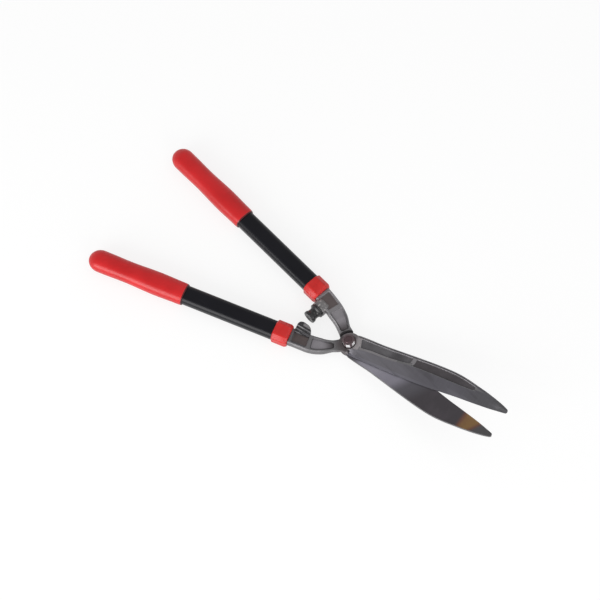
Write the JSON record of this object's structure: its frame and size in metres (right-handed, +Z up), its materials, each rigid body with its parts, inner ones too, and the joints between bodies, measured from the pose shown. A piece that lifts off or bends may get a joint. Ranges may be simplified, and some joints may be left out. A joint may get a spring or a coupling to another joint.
{
  "type": "hedge shears",
  "caption": "Two-handed hedge shears with forged steel blades crossing at a bolt, cranked shanks, black oval tubes and red grips, part open.",
  "frame": {"origin": "on the table under the middle of the bounding box, as the shears lie on their grips and bolt head", "axes": "+X from the grips to the blade tips, +Y across towards the rear handle, +Z up, away from the table"},
  "size_m": [0.5944, 0.2192, 0.0686],
  "materials": {
    "forged_steel": "forged and ground, lacquered",
    "browned_steel": "browned",
    "zinc_steel": "zinc plated",
    "painted_tube": "black powder coat, semi-gloss",
    "red_plastic": "moulded, semi-gloss",
    "red_vinyl": "dipped vinyl, satin",
    "black_rubber": "moulded rubber, matt",
    "grey_nylon": "moulded nylon"
  },
  "bodies": {
    "rear_half": {"rear_blade": "forged_steel", "rear_tube": "painted_tube", "rear_tang_sleeve": "grey_nylon", "rear_tang_pin": "zinc_steel", "rear_collar": "red_plastic", "rear_end_plug": "grey_nylon", "rear_grip": "red_vinyl", "pivot_bolt": "browned_steel", "pivot_washer": "zinc_steel", "spring_washer": "zinc_steel", "pivot_nut": "browned_steel", "rubber_bumper": "black_rubber", "bumper_stud": "zinc_steel"},
    "front_half": {"front_blade": "forged_steel", "front_tube": "painted_tube", "front_tang_sleeve": "grey_nylon", "front_tang_pin": "zinc_steel", "front_collar": "red_plastic", "front_end_plug": "grey_nylon", "front_grip": "red_vinyl"}
  },
  "joints": [
    {"name": "blade_pivot", "type": "hinge", "parent": "rear_half", "child": "front_half", "pos_m": [0.06527, 0, 0.01007], "axis": [-0.2351, 0, 0.972], "range_deg": [-9, 48]}
  ]
}
